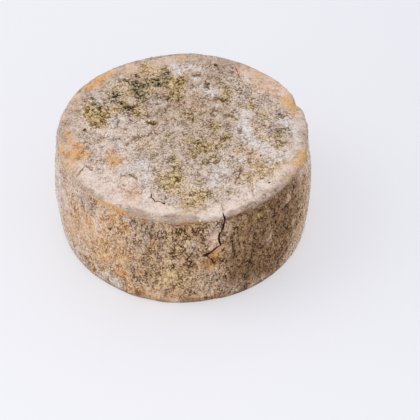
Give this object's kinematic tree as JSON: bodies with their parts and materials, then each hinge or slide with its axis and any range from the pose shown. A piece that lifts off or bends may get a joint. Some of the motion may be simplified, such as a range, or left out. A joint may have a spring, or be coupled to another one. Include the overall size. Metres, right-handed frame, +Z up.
{
  "type": "cheese wheel",
  "caption": "Whole wheel of farmhouse cheese with a dry natural mould rind, flat faces, a bellied side and a long split at the front.",
  "frame": {"origin": "middle of the wheel's foot, on the surface it rests on", "axes": "+Z up along the wheel's axis, -Y towards the side with the long split, +X to the right seen from there"},
  "size_m": [0.2016, 0.2014, 0.0898],
  "materials": {
    "rind": "dry, crusty natural rind: grey-beige with pinkish, olive, green-grey, orange and chalky white moulds, no shine"
  },
  "bodies": {
    "root": {"wheel": "rind"}
  },
  "joints": []
}
